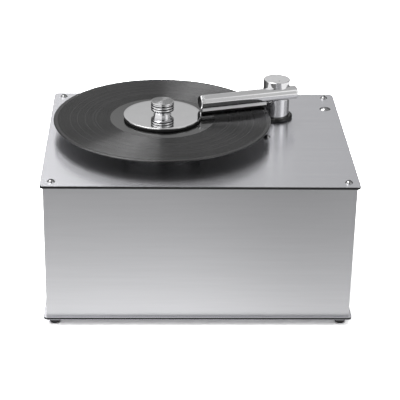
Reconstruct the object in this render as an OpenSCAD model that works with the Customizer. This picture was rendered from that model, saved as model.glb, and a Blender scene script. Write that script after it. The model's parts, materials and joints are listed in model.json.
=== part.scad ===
// Record cleaning machine: a composite-sheet cabinet, a driven platter with a
// screw-down clamp, and a hollow suction arm that swings on a pivot tube.
// Millimetres. The origin is at the bottom centre, on the surface it stands on.
// +X points right, +Y to the back, +Z up. The front panel faces -Y.

/* [Cabinet] */
// Width of the top and bottom plates
cabinet_w = 415; // [410:1:460]
// Depth of the top and bottom plates
cabinet_d = 330; // [326:1:380]
// Height of the deck's upper face above the table
deck_h = 207.6; // [205:0.1:240]
// Thickness of each composite sheet
sheet_t = 4; // [3.6:0.1:5]
// Thickness of each aluminium skin of a sheet
skin_t = 0.5; // [0.3:0.05:0.8]
// How far the plates stand proud of the panels
overhang = 4; // [3.9:0.1:7]
// Corner radius of the plates
plate_corner_r = 5.5; // [2:0.5:10]
// Side of the square corner posts
post_side = 13; // [12:0.5:16]
// Diameter of a foot
foot_d = 15; // [13:0.5:20]
// Height of a foot
foot_h = 10; // [8:0.5:16]

/* [Screws] */
// Thread diameter of the deck screws
screw_d = 6; // [5:0.5:6]
// Head diameter of the deck screws
screw_head_d = 10.5; // [9.5:0.1:12]
// Head height of the deck screws
screw_head_h = 3.3; // [2.7:0.1:3.6]
// Length of the deck screws below the head
screw_l = 20; // [14:1:30]
// Thread diameter of the small screws that hold the drive
small_screw_d = 4; // [3:0.5:5]

/* [Platter] */
// Distance of the spindle from the front edge of the deck
spindle_from_front = 177; // [170:0.5:180]
// Diameter of the spindle where the record sits
spindle_d = 7.1; // [7:0.05:7.15]
// Diameter of the bearing shaft below the platter
shaft_d = 12; // [10:0.5:14]
// Diameter of the platter
platter_d = 112; // [100:1:140]
// Thickness of the platter's rim
platter_t = 11; // [8:0.5:14]
// Gap between deck and platter rim
platter_gap = 8.4; // [7:0.1:12]
// Thickness of the platter mat
mat_t = 2.4; // [1.5:0.1:4]

/* [Record] */
// Diameter of the record
record_d = 301; // [298:0.5:302]
// Thickness of the record at the label and the rim
record_t = 1.9; // [1.6:0.1:2.6]
// Depth of the grooved band below the label, on each side
groove_drop = 0.2; // [0.1:0.05:0.3]
// Diameter of the label area
label_d = 100; // [96:1:102]
// Width of the raised rim
rim_w = 3; // [2:0.5:5]

/* [Clamp] */
// Diameter of the clamp disc
clamp_d = 108; // [104:0.5:112]
// Thickness of the clamp disc at its edge
clamp_t = 2; // [1.6:0.1:3]
// Height of the rubber seal under the disc
seal_h = 3.3; // [2.6:0.1:4.5]
// Radial width of the rubber seal
seal_w = 7; // [4:0.5:8]
// Diameter of the knob's ribbed head
knob_d = 32; // [28:0.5:38]
// Height of the knob from the disc to the rim of its head
knob_h = 19.4; // [18:0.1:24]
// Distance of the first groove from the knob's rim
groove_start = 2.6; // [2:0.1:3.2]
// Diameter of the knob's waist
waist_d = 24.4; // [22:0.2:27]
// Number of grooves round the head
groove_count = 3; // [2:1:3]
// Pitch of the grooves
groove_pitch = 3.3; // [2.6:0.1:3.4]

/* [Suction arm] */
// Distance of the arm's pivot from the right edge of the deck
arm_from_right = 93; // [90:0.5:95]
// Distance of the arm's pivot from the rear edge of the deck
arm_from_rear = 90; // [85:0.5:95]
// Gap between the arm head and the record's edge
arm_gap = 5.34; // [4:0.01:8]
// Diameter of the arm head
head_d = 38; // [36:0.5:40]
// Height of the arm head's top above the deck
head_top = 58.4; // [57:0.1:66]
// Diameter of the arm tube
tube_d = 19.4; // [18:0.1:20.5]
// Wall thickness of the arm tube
tube_wall = 1.5; // [1:0.1:2]
// Height of the arm tube's axis above the record's top
tube_above_record = 16.9; // [16.5:0.1:20]
// Distance of the arm tube's axis in front of the pivot axis
tube_offset = 13.2; // [12:0.1:14]
// Length of the arm tube behind the pivot axis
tube_tail = 25.2; // [24:0.5:32]
// Edge radius of the tube's end caps
cap_round = 3; // [1:0.25:3.5]
// Gap between the tube's tip and the clamp disc, seen from above
tip_gap = 1.2; // [1:0.1:3]
// Width of the mouth bar
mouth_w = 6; // [5:0.1:7]
// Width of the suction slot
slot_w = 1.8; // [1.2:0.1:2.4]
// Height of the mouth bar's underside above the record
mouth_clear = 2; // [1.6:0.1:3]
// Gap between the velvet pads and the record
pad_gap = 0.3; // [0.25:0.05:0.5]
// How far the arm head lifts off the record
lift_travel = 8; // [5:0.5:8]
// Wall of the base ring round the arm head
ring_wall = 4; // [3:0.1:6]
// Radius of the base ring's outer edge
ring_round = 2.4; // [1:0.1:2.8]
// Height of the base ring
ring_h = 7.4; // [5:0.2:9]

/* [Tank] */
// Depth of the waste tank, front to back
tank_d = 268; // [256:1:272]
// Free height between the waste tank and the deck, for the lid and the hose
tank_room = 53.6; // [50:0.1:70]
// Wall thickness of the waste tank
tank_wall = 3; // [2:0.5:4]
// Thickness of the tank's lid
lid_t = 4; // [3:0.5:6]
// Length of the level strip
level_l = 104; // [70:1:110]
// Bore of the drain spout
drain_d = 11; // [8:0.5:12]

/* [Vacuum] */
// Diameter of the fan housing
fan_d = 118; // [100:1:122]
// Height of the fan housing
fan_h = 56; // [45:1:60]
// Diameter of the vacuum motor
vac_d = 88; // [70:1:98]
// Height of the vacuum motor
vac_h = 48; // [40:1:52]
// Outer diameter of the suction hose
hose_d = 30; // [24:1:31]
// Wall thickness of the suction hose
hose_wall = 2; // [1.5:0.5:3]

/* [Rear fittings] */
// Width of the exhaust grille
grille_w = 84; // [70:1:90]
// Height of the exhaust grille
grille_h = 62; // [55:1:76]
// Width of the grille's bars and of the slots between them
grille_bar = 3.5; // [3:0.1:3.8]
// Width of the mains inlet's flange
inlet_w = 31; // [30:0.5:34]
// Height of the mains inlet's flange
inlet_h = 50; // [48:0.5:56]

/* [Switches] */
// Distance of the first switch from the front edge of the deck
switch_from_front = 53; // [46:1:70]
// Distance between the two switches
switch_pitch = 30; // [22:1:40]
// Distance of the switches below the top of the deck
switch_drop = 44; // [34:1:60]
// Width of a rocker
rocker_w = 10.8; // [9:0.1:13]
// Length of a rocker from end to end
rocker_l = 25.2; // [22:0.2:27]
// How far a rocker tips to each side, in degrees
rocker_tilt = 10; // [6:1:11]

/* [Fits] */
// Radial clearance where a shaft turns or slides in a hole
run_fit = 0.05; // [0.03:0.01:0.08]
// Clearance between neighbours that move past each other
gap = 0.3; // [0.25:0.05:0.4]
// Radial clearance of a screw in a plain hole
screw_fit = 0.2; // [0.1:0.05:0.4]

/* [Hidden] */
$fn = 72;
eps = 0.02;

// Cabinet levels and faces
floor_z = foot_h + sheet_t;
ceil_z = deck_h - sheet_t;
wall_h = ceil_z - floor_z;
inner_w = cabinet_w - 2 * overhang - 2 * sheet_t;
inner_d = cabinet_d - 2 * overhang - 2 * sheet_t;
post_x = (inner_w - post_side) / 2;
post_y = (inner_d - post_side) / 2;
rear_y = inner_d / 2 + sheet_t;
left_x = inner_w / 2 + sheet_t;
tap_depth = 26;
foot_seat = 3;
stud_l = foot_h - foot_seat + sheet_t + 18;
hole_r = screw_d / 2 + screw_fit;
tap_r = screw_d / 2 + run_fit;

// Axes of the arm and the spindle: the arm head stands just clear of the record
arm_x = cabinet_w / 2 - arm_from_right;
arm_y = cabinet_d / 2 - arm_from_rear;
axis_gap = (record_d + head_d) / 2 + arm_gap;
spindle_y = spindle_from_front - cabinet_d / 2;
spindle_x = arm_x - sqrt(pow(axis_gap, 2) - pow(arm_y - spindle_y, 2));

// Platter stack
platter_z = deck_h + platter_gap;
mat_z = platter_z + platter_t;
record_z = mat_z + mat_t;
record_top = record_z + record_t;
bush_flange_t = 1.2;
hub_z = deck_h + 2 + bush_flange_t;
hub_d = shaft_d + 24;
shaft_r = shaft_d / 2;
shaft_bore = shaft_r + run_fit;
bush_r = shaft_r + 4;
bush_l = 9;
housing_r = bush_r + 3;
housing_l = 24;
flange_r = housing_r + 11;
flange_t = 4;
shaft_drop = 38;
shaft_low = deck_h - shaft_drop;
coupling_r = 11;
coupling_h = 24;
output_d = 8;
bracket_w = 84;
bracket_t = 3;
bracket_drop = 53.6;
bracket_z = deck_h - bracket_drop;
standoff_r = 4;
standoff_pitch = 68;
gearbox_w = 62;
gearbox_h = 44;
motor_d = 52;
motor_h = 46;

// Clamp levels
clamp_r = clamp_d / 2;
clamp_z = record_top + seal_h;
clamp_top = clamp_z + clamp_t;
spigot_r = 9;
clamp_hub_r = 14;
clamp_hub_z = clamp_z - 0.8;
ring_t = 1;
ring_z = clamp_hub_z - ring_t;
ring_groove_r = spigot_r - 1;
knob_z = clamp_top + knob_h;
knob_head_h = groove_start + (groove_count - 1) * groove_pitch + 0.6;
knob_bore = spindle_d / 2 + run_fit;
spindle_top = knob_z - 5;
knob_cone = 1;

// Arm: the mouth points straight at the spindle
arm_angle = atan2(spindle_y - arm_y, spindle_x - arm_x) - asin(tube_offset / axis_gap);
reach = sqrt(pow(axis_gap, 2) - pow(tube_offset, 2));
tube_r = tube_d / 2;
tube_bore = tube_r - tube_wall;
tube_z = record_top + tube_above_record;
tip_x = reach - clamp_r - tip_gap;
cap_t = 4;
cap_plug = 6;
head_r = head_d / 2;
head_z = deck_h + 4.4;
head_cap_z = deck_h + head_top;
mouth_z = record_top + mouth_clear;
mouth_x0 = head_r + 1.5;
mouth_x1 = tip_x - 2.6;
slot_margin = 3.5;
pivot_r = 12;
pivot_bore = pivot_r - 2;
pivot_top = tube_z - tube_r - 6.4;
pivot_collar_r = 16;
pivot_collar_z = head_z - 3;
arm_bush_r = pivot_r + 2;
arm_bush_l = 12;
base_tube_r = arm_bush_r + 3;
base_flange_r = base_tube_r + 6;
duct_r = 5;
duct_y = tube_offset - 5.2;
key_r = 2;
key_out = 2.5;
key_z = pivot_top - 5;

// Wet side
wall_t = 2;
flange_gap = 1.5;
partition_x = arm_x - base_flange_r - flange_gap - wall_t / 2;
fold_w = 16;
tab_l = 36;
lid_lip = 1.5;
tank_corner = 4;
tank_x0 = partition_x + wall_t / 2 + 3;
tank_x1 = post_x - post_side / 2 - lid_lip - 1;
tank_w = tank_x1 - tank_x0;
tank_x = (tank_x0 + tank_x1) / 2;
tank_y1 = inner_d / 2 - 7;
tank_y = tank_y1 - tank_d / 2;
tank_h = wall_h - tank_room;
tank_top = floor_z + tank_h;
lid_top = tank_top + lid_t;
port_offset = 22;
level_x = tank_x + port_offset;
level_w = 10;
level_z = floor_z + 14;
drain_x = tank_x - port_offset;
drain_z = floor_z + tank_wall + drain_d / 2 + 6;
spout_wall = 2.5;
plug_head = 3.2;

// Dry side
fan_lip = 2;
vac_x = partition_x - fold_w - fan_d / 2 - 2 * fan_lip;
vac_y = -(inner_d / 2 - fan_d / 2 - 12);
mount_t = 6;
hose_seat = 14;
fan_z = floor_z + mount_t + vac_h;
fan_top = fan_z + fan_h;
hose_in = 46;
hose_x = tank_x0 + hose_in;
hose_bend = hose_d / 2 + 10;
hose_z = lid_top + hose_bend;
grille_low = 69;
grille_z = floor_z + grille_low + grille_h / 2;
grille_rim = 5;
grille_t = 2.4;
grille_frame = 2.5;
inlet_x = 47.5 - cabinet_w / 2;
inlet_z = floor_z + inlet_h / 2 + 21;
grille_x = inlet_x + (inlet_w + grille_w) / 2 + 10.5;
inlet_rim = 2.2;
inlet_t = 2.6;
inlet_body_l = 26;
socket_l = 15;
pin_reach = 1.5;
drawer_w = 24;
drawer_h = 8;
drawer_l = 20;
drawer_z = 10 - inlet_h / 2;
drawer_lip_t = 1.3;
fuse_r = 2.5;
fuse_l = 20;
board_w = 96;
board_h = 70;
board_t = 1.6;
board_x = 8 - inner_w / 2;
board_y = -40;
board_gap = 5;
switch_y = [for (i = [0, 1]) switch_from_front + i * switch_pitch - cabinet_d / 2];
switch_z = deck_h - switch_drop;
bezel_t = 1.5;
bezel_rim = 2;
frame_wall = 1.75;
frame_w = rocker_w + 2 * (gap + frame_wall);
frame_h = rocker_l + 2 * (gap + frame_wall);
frame_l = 22;
pivot_in = 3;
rocker_r = rocker_l / 2;
rocker_deep = 5;
rocker_crown = 4.2;
rocker_dish = 0.8;
pin_r = 1.5;
board_z = switch_z - frame_h / 2 - board_gap - board_h;

// Deck plug, from the right and the rear edge
plug_from_right = 17.5;
plug_from_rear = 58.5;
plug_x = cabinet_w / 2 - plug_from_right;
plug_y = cabinet_d / 2 - plug_from_rear;
plug_r = 8;
plug_stem_r = 6;
plug_dome = 2.4;

// Colours
metal = [0.80, 0.81, 0.82];
bright = [0.88, 0.89, 0.90];
dark = [0.09, 0.09, 0.10];
brass = [0.72, 0.60, 0.34];

// A rectangle with round corners, centred
module round_rect(w, d, r) {
    square([w - 2 * r, d], center = true);
    square([w, d - 2 * r], center = true);
    for (sx = [-1, 1], sy = [-1, 1])
        translate([sx * (w / 2 - r), sy * (d / 2 - r)])
            circle(r);
}

// A plain ring or tube standing on z = 0
module tube(outer_r, inner_r, h) {
    difference() {
        cylinder(r = outer_r, h = h);
        translate([0, 0, -1])
            cylinder(r = inner_r, h = h + 2);
    }
}

// Button-head screw, head above z = 0 and shank below
module button_screw(d, head_d, head_h, l) {
    dome_r = (pow(head_d / 2, 2) + pow(head_h, 2)) / (2 * head_h);
    difference() {
        rotate_extrude()
            intersection() {
                translate([0, head_h - dome_r])
                    circle(dome_r);
                square([head_d / 2, head_h]);
            }
        translate([0, 0, head_h * 0.4])
            cylinder(r = d * 0.38, h = head_h, $fn = 6);
    }
    translate([0, 0, -l])
        cylinder(d = d, h = l + eps);
}

module at_corners() {
    for (sx = [-1, 1], sy = [-1, 1])
        translate([sx * post_x, sy * post_y, 0])
            children();
}

module at_spindle() {
    translate([spindle_x, spindle_y, 0])
        children();
}

module at_arm() {
    translate([arm_x, arm_y, 0])
        rotate([0, 0, arm_angle])
            children();
}

module at_standoffs() {
    at_spindle()
        for (sx = [-1, 1], sy = [-1, 1])
            translate([sx * standoff_pitch / 2, sy * standoff_pitch / 2, 0])
                children();
}

// The two layers of a composite sheet, from its outline in 2D
module sheet_core() {
    translate([0, 0, skin_t])
        linear_extrude(sheet_t - 2 * skin_t)
            children();
}

module sheet_skins() {
    for (z = [0, sheet_t - skin_t])
        translate([0, 0, z])
            linear_extrude(skin_t)
                children();
}

// Sheet frames: local x along the wall, local y up, local z out of the cabinet
module on_front() {
    translate([0, -inner_d / 2, 0])
        rotate([90, 0, 0])
            children();
}

module on_rear() {
    mirror([0, 1, 0])
        on_front()
            children();
}

module on_left() {
    translate([-inner_w / 2, 0, 0])
        rotate([90, 0, -90])
            children();
}

module on_right() {
    mirror([1, 0, 0])
        on_left()
            children();
}

// Top and bottom plates

module deck_outline() {
    difference() {
        round_rect(cabinet_w, cabinet_d, plate_corner_r);
        for (sx = [-1, 1], sy = [-1, 1])
            translate([sx * post_x, sy * post_y])
                circle(hole_r);
        translate([partition_x + fold_w / 2, 0])
            circle(hole_r);
        translate([plug_x, plug_y])
            circle(plug_stem_r + run_fit);
        translate([arm_x, arm_y])
            circle(base_tube_r + run_fit);
        translate([spindle_x, spindle_y]) {
            circle(housing_r + run_fit);
            for (sx = [-1, 1], sy = [-1, 1])
                translate([sx * standoff_pitch / 2, sy * standoff_pitch / 2])
                    circle(small_screw_d / 2 + screw_fit);
        }
    }
}

module base_outline() {
    difference() {
        round_rect(cabinet_w, cabinet_d, plate_corner_r);
        for (sx = [-1, 1], sy = [-1, 1])
            translate([sx * post_x, sy * post_y])
                circle(hole_r);
    }
}

module top_plate() {
    color(dark)
        translate([0, 0, ceil_z])
            sheet_core()
                deck_outline();
}

module bottom_plate() {
    color(dark)
        translate([0, 0, foot_h])
            sheet_core()
                base_outline();
}

module plate_skins() {
    color(metal) {
        translate([0, 0, ceil_z])
            sheet_skins()
                deck_outline();
        translate([0, 0, foot_h])
            sheet_skins()
                base_outline();
    }
}

// Panels

module wall_outline(w) {
    translate([-w / 2, floor_z])
        square([w, wall_h]);
}

module front_outline() {
    wall_outline(inner_w + 2 * sheet_t);
}

module level_outline(clear) {
    translate([level_x, level_z + level_w / 2])
        circle(level_w / 2 + clear);
    translate([level_x, level_z + level_l - level_w / 2])
        circle(level_w / 2 + clear);
    translate([level_x - level_w / 2 - clear, level_z + level_w / 2])
        square([level_w + 2 * clear, level_l - level_w]);
}

module rear_outline() {
    difference() {
        wall_outline(inner_w + 2 * sheet_t);
        level_outline(run_fit);
        translate([drain_x, drain_z])
            circle(drain_d / 2 + spout_wall + run_fit);
        translate([grille_x, grille_z])
            square([grille_w - 2 * grille_rim, grille_h - 2 * grille_rim], center = true);
        translate([inlet_x, inlet_z])
            square([inlet_w - 2 * inlet_rim, inlet_h - 2 * inlet_rim], center = true);
    }
}

module left_outline() {
    difference() {
        wall_outline(inner_d - 2 * run_fit);
        for (y = switch_y)
            translate([-y, switch_z])
                square([frame_w + 2 * run_fit, frame_h + 2 * run_fit], center = true);
    }
}

module right_outline() {
    wall_outline(inner_d - 2 * run_fit);
}

module front_panel() {
    color(dark)
        on_front()
            sheet_core()
                front_outline();
}

module rear_panel() {
    color(dark)
        on_rear()
            sheet_core()
                rear_outline();
}

module left_panel() {
    color(dark)
        on_left()
            sheet_core()
                left_outline();
}

module right_panel() {
    color(dark)
        on_right()
            sheet_core()
                right_outline();
}

module panel_skins() {
    color(metal) {
        on_front()
            sheet_skins()
                front_outline();
        on_rear()
            sheet_skins()
                rear_outline();
        on_left()
            sheet_skins()
                left_outline();
        on_right()
            sheet_skins()
                right_outline();
    }
}

// Frame, screws and feet

module corner_posts() {
    color(metal)
        at_corners()
            difference() {
                translate([-post_side / 2, -post_side / 2, floor_z])
                    cube([post_side, post_side, wall_h]);
                translate([0, 0, ceil_z - tap_depth])
                    cylinder(r = tap_r, h = tap_depth + 1);
                translate([0, 0, floor_z - 1])
                    cylinder(r = tap_r, h = tap_depth + 1);
            }
}

module deck_screws() {
    color(bright) {
        at_corners()
            translate([0, 0, deck_h])
                button_screw(screw_d, screw_head_d, screw_head_h, screw_l);
        translate([partition_x + fold_w / 2, 0, deck_h])
            button_screw(screw_d, screw_head_d, screw_head_h, screw_l / 2);
    }
}

module feet() {
    color(dark)
        at_corners()
            difference() {
                rotate_extrude() {
                    square([foot_d / 2 - 1.5, foot_h]);
                    translate([0, 1.5])
                        square([foot_d / 2, foot_h - 1.5]);
                    translate([foot_d / 2 - 1.5, 1.5])
                        circle(1.5);
                }
                translate([0, 0, foot_seat])
                    cylinder(r = tap_r, h = foot_h);
            }
}

module foot_studs() {
    color(bright)
        at_corners()
            translate([0, 0, foot_seat])
                cylinder(d = screw_d, h = stud_l);
}

module deck_plug() {
    dome_r = (pow(plug_r, 2) + pow(plug_dome, 2)) / (2 * plug_dome);
    color(bright)
        translate([plug_x, plug_y, deck_h]) {
            rotate_extrude()
                intersection() {
                    translate([0, plug_dome - dome_r])
                        circle(dome_r);
                    square([plug_r, plug_dome]);
                }
            translate([0, 0, -sheet_t - 4])
                cylinder(r = plug_stem_r, h = sheet_t + 4 + eps);
        }
}

// Partition wall, folded at the foot to the left and with a tab at the top

module partition_wall() {
    hose_hole_r = hose_d / 2 + 1;
    color([0.62, 0.63, 0.64])
        difference() {
            translate([partition_x, 0, 0]) {
                translate([-wall_t / 2, -inner_d / 2, floor_z])
                    cube([wall_t, inner_d, wall_h]);
                translate([-fold_w, -inner_d / 2, floor_z])
                    cube([fold_w, inner_d, wall_t]);
                translate([0, -tab_l / 2, ceil_z - wall_t])
                    cube([fold_w + wall_t / 2, tab_l, wall_t]);
            }
            translate([partition_x - fold_w, vac_y, hose_z])
                rotate([0, 90, 0])
                    cylinder(r = hose_hole_r, h = 2 * fold_w);
            translate([partition_x + fold_w / 2, 0, ceil_z - 2 * wall_t])
                cylinder(r = tap_r, h = 3 * wall_t);
        }
}

// Waste tank

module tank() {
    color([0.86, 0.88, 0.88])
        difference() {
            translate([tank_x, tank_y, floor_z])
                linear_extrude(tank_h)
                    round_rect(tank_w, tank_d, tank_corner);
            translate([tank_x, tank_y, floor_z + tank_wall])
                linear_extrude(tank_h)
                    square([tank_w - 2 * tank_wall, tank_d - 2 * tank_wall], center = true);
            translate([drain_x, tank_y1 - 2 * tank_wall, drain_z])
                rotate([-90, 0, 0])
                    cylinder(r = drain_d / 2 + spout_wall + run_fit, h = 3 * tank_wall);
        }
}

module tank_lid() {
    color([0.80, 0.82, 0.82])
        difference() {
            translate([tank_x, tank_y, tank_top])
                linear_extrude(lid_t)
                    round_rect(tank_w + 2 * lid_lip, tank_d + 2 * lid_lip, tank_corner);
            translate([arm_x, arm_y, tank_top - 1])
                cylinder(r = pivot_r + gap, h = lid_t + 2);
            translate([hose_x, vac_y, tank_top - 1])
                cylinder(r = hose_d / 2 + run_fit, h = lid_t + 2);
        }
}

module level_strip() {
    color([0.75, 0.85, 0.88, 0.4])
        on_rear()
            linear_extrude(sheet_t)
                level_outline(0);
}

module drain_spout() {
    spout_r = drain_d / 2 + spout_wall;
    spout_l = rear_y - (tank_y1 - tank_wall);
    collar_l = inner_d / 2 - tank_y1;
    color(dark)
        translate([drain_x, tank_y1 - tank_wall, drain_z])
            rotate([-90, 0, 0])
                difference() {
                    union() {
                        cylinder(r = spout_r, h = spout_l);
                        translate([0, 0, tank_wall])
                            cylinder(r = spout_r + 4, h = collar_l);
                    }
                    translate([0, 0, -1])
                        cylinder(r = drain_d / 2, h = spout_l + 2);
                }
}

module drain_plug() {
    plug_head_r = drain_d / 2 + spout_wall + 2.5;
    notch_r = 1.2;
    color(dark)
        translate([drain_x, rear_y, drain_z])
            rotate([-90, 0, 0]) {
                translate([0, 0, -11])
                    cylinder(r = drain_d / 2 - run_fit, h = 11 + eps);
                difference() {
                    cylinder(r = plug_head_r, h = plug_head);
                    for (a = [0:30:330])
                        rotate([0, 0, a])
                            translate([plug_head_r + 0.4, 0, -1])
                                cylinder(r = notch_r, h = plug_head + 2);
                }
            }
}

// Base of the suction arm

module arm_base_ring() {
    ring_in = head_r + gap;
    edge_r = min(ring_round, 0.8 * ring_wall);
    lip_r = ring_wall - edge_r;
    crest = ring_in + lip_r;
    color(dark)
        translate([arm_x, arm_y, deck_h])
            rotate_extrude() {
                translate([ring_in, 0])
                    square([ring_wall, ring_h - edge_r]);
                translate([ring_in, 0])
                    square([lip_r, ring_h - lip_r]);
                translate([crest, ring_h - lip_r])
                    circle(lip_r);
                intersection() {
                    translate([crest, ring_h - edge_r])
                        circle(edge_r);
                    translate([crest, 0])
                        square([edge_r, ring_h]);
                }
            }
}

module arm_base_tube() {
    color(metal)
        translate([arm_x, arm_y, 0])
            difference() {
                union() {
                    translate([0, 0, lid_top])
                        cylinder(r = base_tube_r, h = pivot_collar_z - lid_top);
                    translate([0, 0, ceil_z - flange_t])
                        cylinder(r = base_flange_r, h = flange_t);
                }
                translate([0, 0, lid_top - 1])
                    cylinder(r = arm_bush_r + run_fit, h = pivot_collar_z - lid_top + 2);
            }
}

module arm_bushes() {
    color(brass)
        translate([arm_x, arm_y, 0])
            for (z = [lid_top, pivot_collar_z - arm_bush_l])
                translate([0, 0, z])
                    tube(arm_bush_r, pivot_r + run_fit, arm_bush_l);
}

// Platter drive, carried under the deck

module bearing_housing() {
    color(metal)
        at_spindle()
            difference() {
                union() {
                    translate([0, 0, ceil_z - flange_t])
                        cylinder(r = flange_r, h = flange_t);
                    translate([0, 0, deck_h + 2 - housing_l])
                        cylinder(r = housing_r, h = housing_l);
                }
                translate([0, 0, deck_h + 1 - housing_l])
                    cylinder(r = bush_r + run_fit, h = housing_l + 2);
            }
}

module spindle_bushes() {
    top_z = deck_h + 2;
    low_z = top_z - housing_l;
    color(brass)
        at_spindle()
            difference() {
                union() {
                    translate([0, 0, top_z - bush_l])
                        cylinder(r = bush_r, h = bush_l + eps);
                    translate([0, 0, top_z])
                        cylinder(r = housing_r, h = bush_flange_t);
                    translate([0, 0, low_z - eps])
                        cylinder(r = bush_r, h = bush_l + eps);
                    translate([0, 0, low_z - bush_flange_t])
                        cylinder(r = housing_r, h = bush_flange_t);
                }
                translate([0, 0, low_z - 2 * bush_flange_t])
                    cylinder(r = shaft_bore, h = housing_l + 4 * bush_flange_t);
            }
}

module drive_bracket() {
    color([0.62, 0.63, 0.64])
        difference() {
            translate([spindle_x, spindle_y, bracket_z])
                linear_extrude(bracket_t)
                    round_rect(bracket_w, bracket_w, 6);
            translate([spindle_x, spindle_y, bracket_z - 1])
                cylinder(r = output_d / 2 + 3, h = bracket_t + 2);
            at_standoffs()
                translate([0, 0, bracket_z - 1])
                    cylinder(d = small_screw_d + 2 * screw_fit, h = bracket_t + 2);
        }
}

module bracket_standoffs() {
    color(bright)
        at_standoffs()
            translate([0, 0, bracket_z + bracket_t])
                tube(standoff_r, small_screw_d / 2 + run_fit, ceil_z - bracket_z - bracket_t);
}

module bracket_screws() {
    head_h = small_screw_d * 0.55;
    color(bright)
        at_standoffs() {
            translate([0, 0, deck_h])
                button_screw(small_screw_d, small_screw_d * 1.9, head_h, 16);
            translate([0, 0, bracket_z])
                mirror([0, 0, 1])
                    button_screw(small_screw_d, small_screw_d * 1.9, head_h, 12);
        }
}

module gearbox() {
    color([0.55, 0.56, 0.58])
        at_spindle()
            difference() {
                translate([0, 0, bracket_z - gearbox_h])
                    linear_extrude(gearbox_h)
                        round_rect(gearbox_w, gearbox_w, 8);
                for (sx = [-1, 1], sy = [-1, 1])
                    translate([sx * standoff_pitch / 2, sy * standoff_pitch / 2, bracket_z - 5])
                        cylinder(r = small_screw_d, h = 6);
                translate([0, 0, bracket_z - 12])
                    cylinder(r = output_d / 2 + run_fit, h = 13);
                for (z = [1:3])
                    translate([0, 0, bracket_z - z * gearbox_h / 4])
                        difference() {
                            cube([gearbox_w + 2, gearbox_w + 2, 1.2], center = true);
                            cylinder(r = gearbox_w / 2 - 1, h = 2, center = true);
                        }
            }
}

module drive_motor() {
    top_z = bracket_z - gearbox_h;
    color([0.30, 0.31, 0.33])
        at_spindle()
            translate([0, 0, top_z - motor_h])
                rotate_extrude() {
                    square([motor_d / 2 - 3, motor_h]);
                    translate([0, 3])
                        square([motor_d / 2, motor_h - 6]);
                    for (y = [3, motor_h - 3])
                        translate([motor_d / 2 - 3, y])
                            circle(3);
                    translate([0, motor_h * 0.45])
                        square([motor_d / 2 + 2, motor_h * 0.25]);
                }
}

module output_shaft() {
    color(bright)
        at_spindle()
            translate([0, 0, bracket_z - 10])
                cylinder(d = output_d, h = shaft_low - bracket_z + 9);
}

module shaft_coupling() {
    low_z = shaft_low - coupling_h / 2;
    color(metal)
        at_spindle()
            difference() {
                translate([0, 0, low_z])
                    cylinder(r = coupling_r, h = coupling_h);
                translate([0, 0, low_z - 1])
                    cylinder(r = output_d / 2 + run_fit, h = coupling_h / 2 + 1 + eps);
                translate([0, 0, shaft_low])
                    cylinder(r = shaft_bore, h = coupling_h);
                for (z = [-1, 1])
                    translate([0, 0, shaft_low + z * coupling_h / 4])
                        rotate([0, 90, 0])
                            cylinder(r = 1.5, h = 2 * coupling_r);
            }
}

module platter() {
    color(metal)
        at_spindle()
            difference() {
                union() {
                    rotate_extrude() {
                        translate([0, platter_z])
                            square([platter_d / 2 - 1.5, platter_t]);
                        translate([0, platter_z + 1.5])
                            square([platter_d / 2, platter_t - 3]);
                        for (z = [platter_z + 1.5, mat_z - 1.5])
                            translate([platter_d / 2 - 1.5, z])
                                circle(1.5);
                    }
                    translate([0, 0, hub_z])
                        cylinder(d = hub_d, h = platter_z - hub_z + eps);
                }
                translate([0, 0, hub_z - 1])
                    cylinder(r = shaft_bore, h = mat_z - hub_z + 2);
            }
}

module platter_mat() {
    color([0.14, 0.14, 0.15])
        at_spindle()
            translate([0, 0, mat_z])
                difference() {
                    cylinder(d = platter_d - 2, h = mat_t);
                    translate([0, 0, -1])
                        cylinder(r = shaft_r + 1, h = mat_t + 2);
                }
}

module spindle() {
    color(bright)
        at_spindle()
            rotate_extrude() {
                translate([0, shaft_low])
                    square([shaft_r, mat_z - shaft_low]);
                translate([0, mat_z - eps])
                    square([spindle_d / 2, spindle_top - 1 - mat_z + 2 * eps]);
                polygon([
                    [0, spindle_top - 1],
                    [spindle_d / 2, spindle_top - 1],
                    [spindle_d / 2 - 1, spindle_top],
                    [0, spindle_top]
                ]);
            }
}

module record() {
    hole = spindle_d / 2 + run_fit;
    groove_in = label_d / 2 + 2;
    groove_out = record_d / 2 - rim_w;
    edge_r = record_t / 2;
    color([0.05, 0.05, 0.055])
        at_spindle()
            translate([0, 0, record_z])
                rotate_extrude()
                    difference() {
                        union() {
                            translate([hole, 0])
                                square([record_d / 2 - edge_r - hole, record_t]);
                            translate([record_d / 2 - edge_r, edge_r])
                                circle(edge_r);
                        }
                        for (y = [record_t - groove_drop, groove_drop - 1])
                            translate([groove_in, y])
                                square([groove_out - groove_in, 1]);
                    }
}

// Clamp

module clamp_disc() {
    edge = 0.4;
    color(bright)
        at_spindle()
            difference() {
                union() {
                    rotate_extrude()
                        polygon([
                            [0, clamp_z],
                            [clamp_r, clamp_z],
                            [clamp_r, clamp_top - edge],
                            [clamp_r - edge, clamp_top],
                            [0, clamp_top]
                        ]);
                    translate([0, 0, clamp_hub_z])
                        cylinder(r = clamp_hub_r, h = clamp_z - clamp_hub_z + eps);
                }
                translate([0, 0, clamp_hub_z - 1])
                    cylinder(r = spigot_r + run_fit, h = clamp_top - clamp_hub_z + 2);
            }
}

module clamp_seal() {
    seal_out = clamp_r - 0.8;
    color(dark)
        at_spindle()
            translate([0, 0, record_top])
                rotate_extrude()
                    polygon([
                        [seal_out - 2, 0],
                        [seal_out, 0],
                        [seal_out, seal_h],
                        [seal_out - seal_w, seal_h],
                        [seal_out - seal_w, seal_h - 1]
                    ]);
}

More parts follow.
